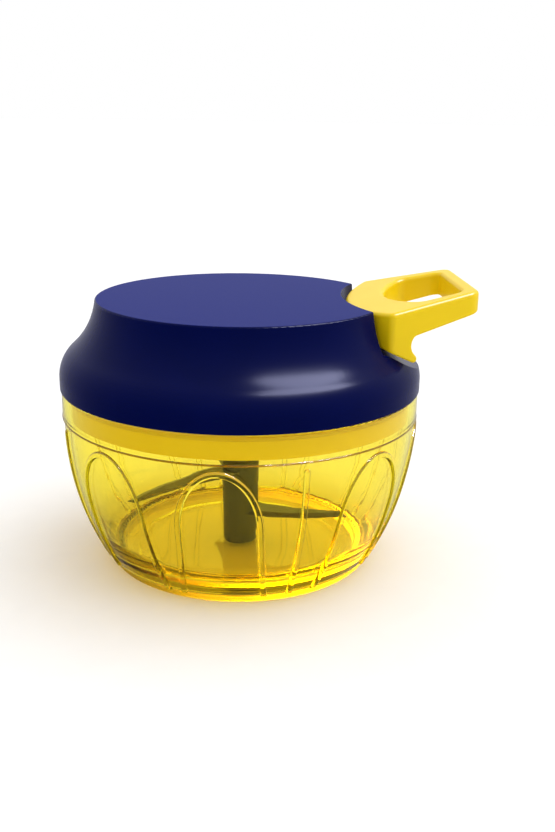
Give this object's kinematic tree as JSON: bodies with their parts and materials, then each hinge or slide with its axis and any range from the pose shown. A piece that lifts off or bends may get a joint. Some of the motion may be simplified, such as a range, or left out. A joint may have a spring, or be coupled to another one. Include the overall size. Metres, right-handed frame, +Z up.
{
  "type": "vegetable chopper",
  "caption": "Hand-pulled vegetable chopper: a clear ribbed bowl with a blade unit on a pivot pin, under a waisted lid whose ring handle pulls a cord that spins the blades.",
  "frame": {"origin": "centre of the foot ring, on the surface that the chopper stands on", "axes": "+Z up along the axis that the blades turn about, +X from that axis towards the pull handle"},
  "size_m": [0.1437, 0.1282, 0.1013],
  "materials": {
    "clear_yellow": "polished see-through plastic, moulded",
    "soft_yellow": "soft moulded rubber, slightly dull",
    "yellow_plastic": "glossy moulded plastic",
    "navy_plastic": "satin moulded plastic with a fine-grained top",
    "dark_plastic": "satin moulded plastic",
    "white_plastic": "plain moulded plastic",
    "seal_rubber": "soft moulded rubber",
    "steel": "ground stainless steel",
    "cord": "braided cord"
  },
  "bodies": {
    "bowl": {"bowl": "clear_yellow", "foot_ring": "soft_yellow", "blade_pivot_pin": "steel"},
    "blade_unit": {"blade_hub": "dark_plastic", "upper_blade": "steel", "middle_blade": "steel", "lower_blade": "steel"},
    "lid": {"lid_cover": "navy_plastic", "lid_base": "yellow_plastic", "lid_seal": "seal_rubber", "lid_screws": "steel", "spool_axle": "steel", "cord_eyelet": "steel", "main_spring": "steel", "drive_bush": "white_plastic", "thrust_washer": "steel"},
    "spool": {"cord_spool": "white_plastic", "spring_cover": "white_plastic", "drive_shaft": "white_plastic", "cord_winding": "cord"},
    "handle": {"pull_handle": "yellow_plastic", "pull_cord": "cord", "handle_plug": "yellow_plastic"}
  },
  "joints": [
    {"name": "lid_lift", "type": "slide", "parent": "bowl", "child": "lid", "axis": [0, 0, 1], "range_m": [0, 0.1]},
    {"name": "handle_pull", "type": "slide", "parent": "lid", "child": "handle", "axis": [1, 0, 0], "range_m": [0, 0.3], "stiffness_N_per_m": 12, "springref_m": -0.15, "deforming": ["pull_cord"]},
    {"name": "spool_spin", "type": "hinge", "parent": "lid", "child": "spool", "pos_m": [0, 0, 0.085], "axis": [0, 0, 1], "range_deg": [-665, 0]},
    {"name": "blade_spin", "type": "hinge", "parent": "bowl", "child": "blade_unit", "pos_m": [0, 0, 0.02], "axis": [0, 0, 1], "range_deg": [-665, 0]}
  ],
  "couplings": [
    {"joint": "spool_spin", "follows": "handle_pull", "rad_per_m": -38.462},
    {"joint": "blade_spin", "follows": "handle_pull", "rad_per_m": -38.462}
  ]
}
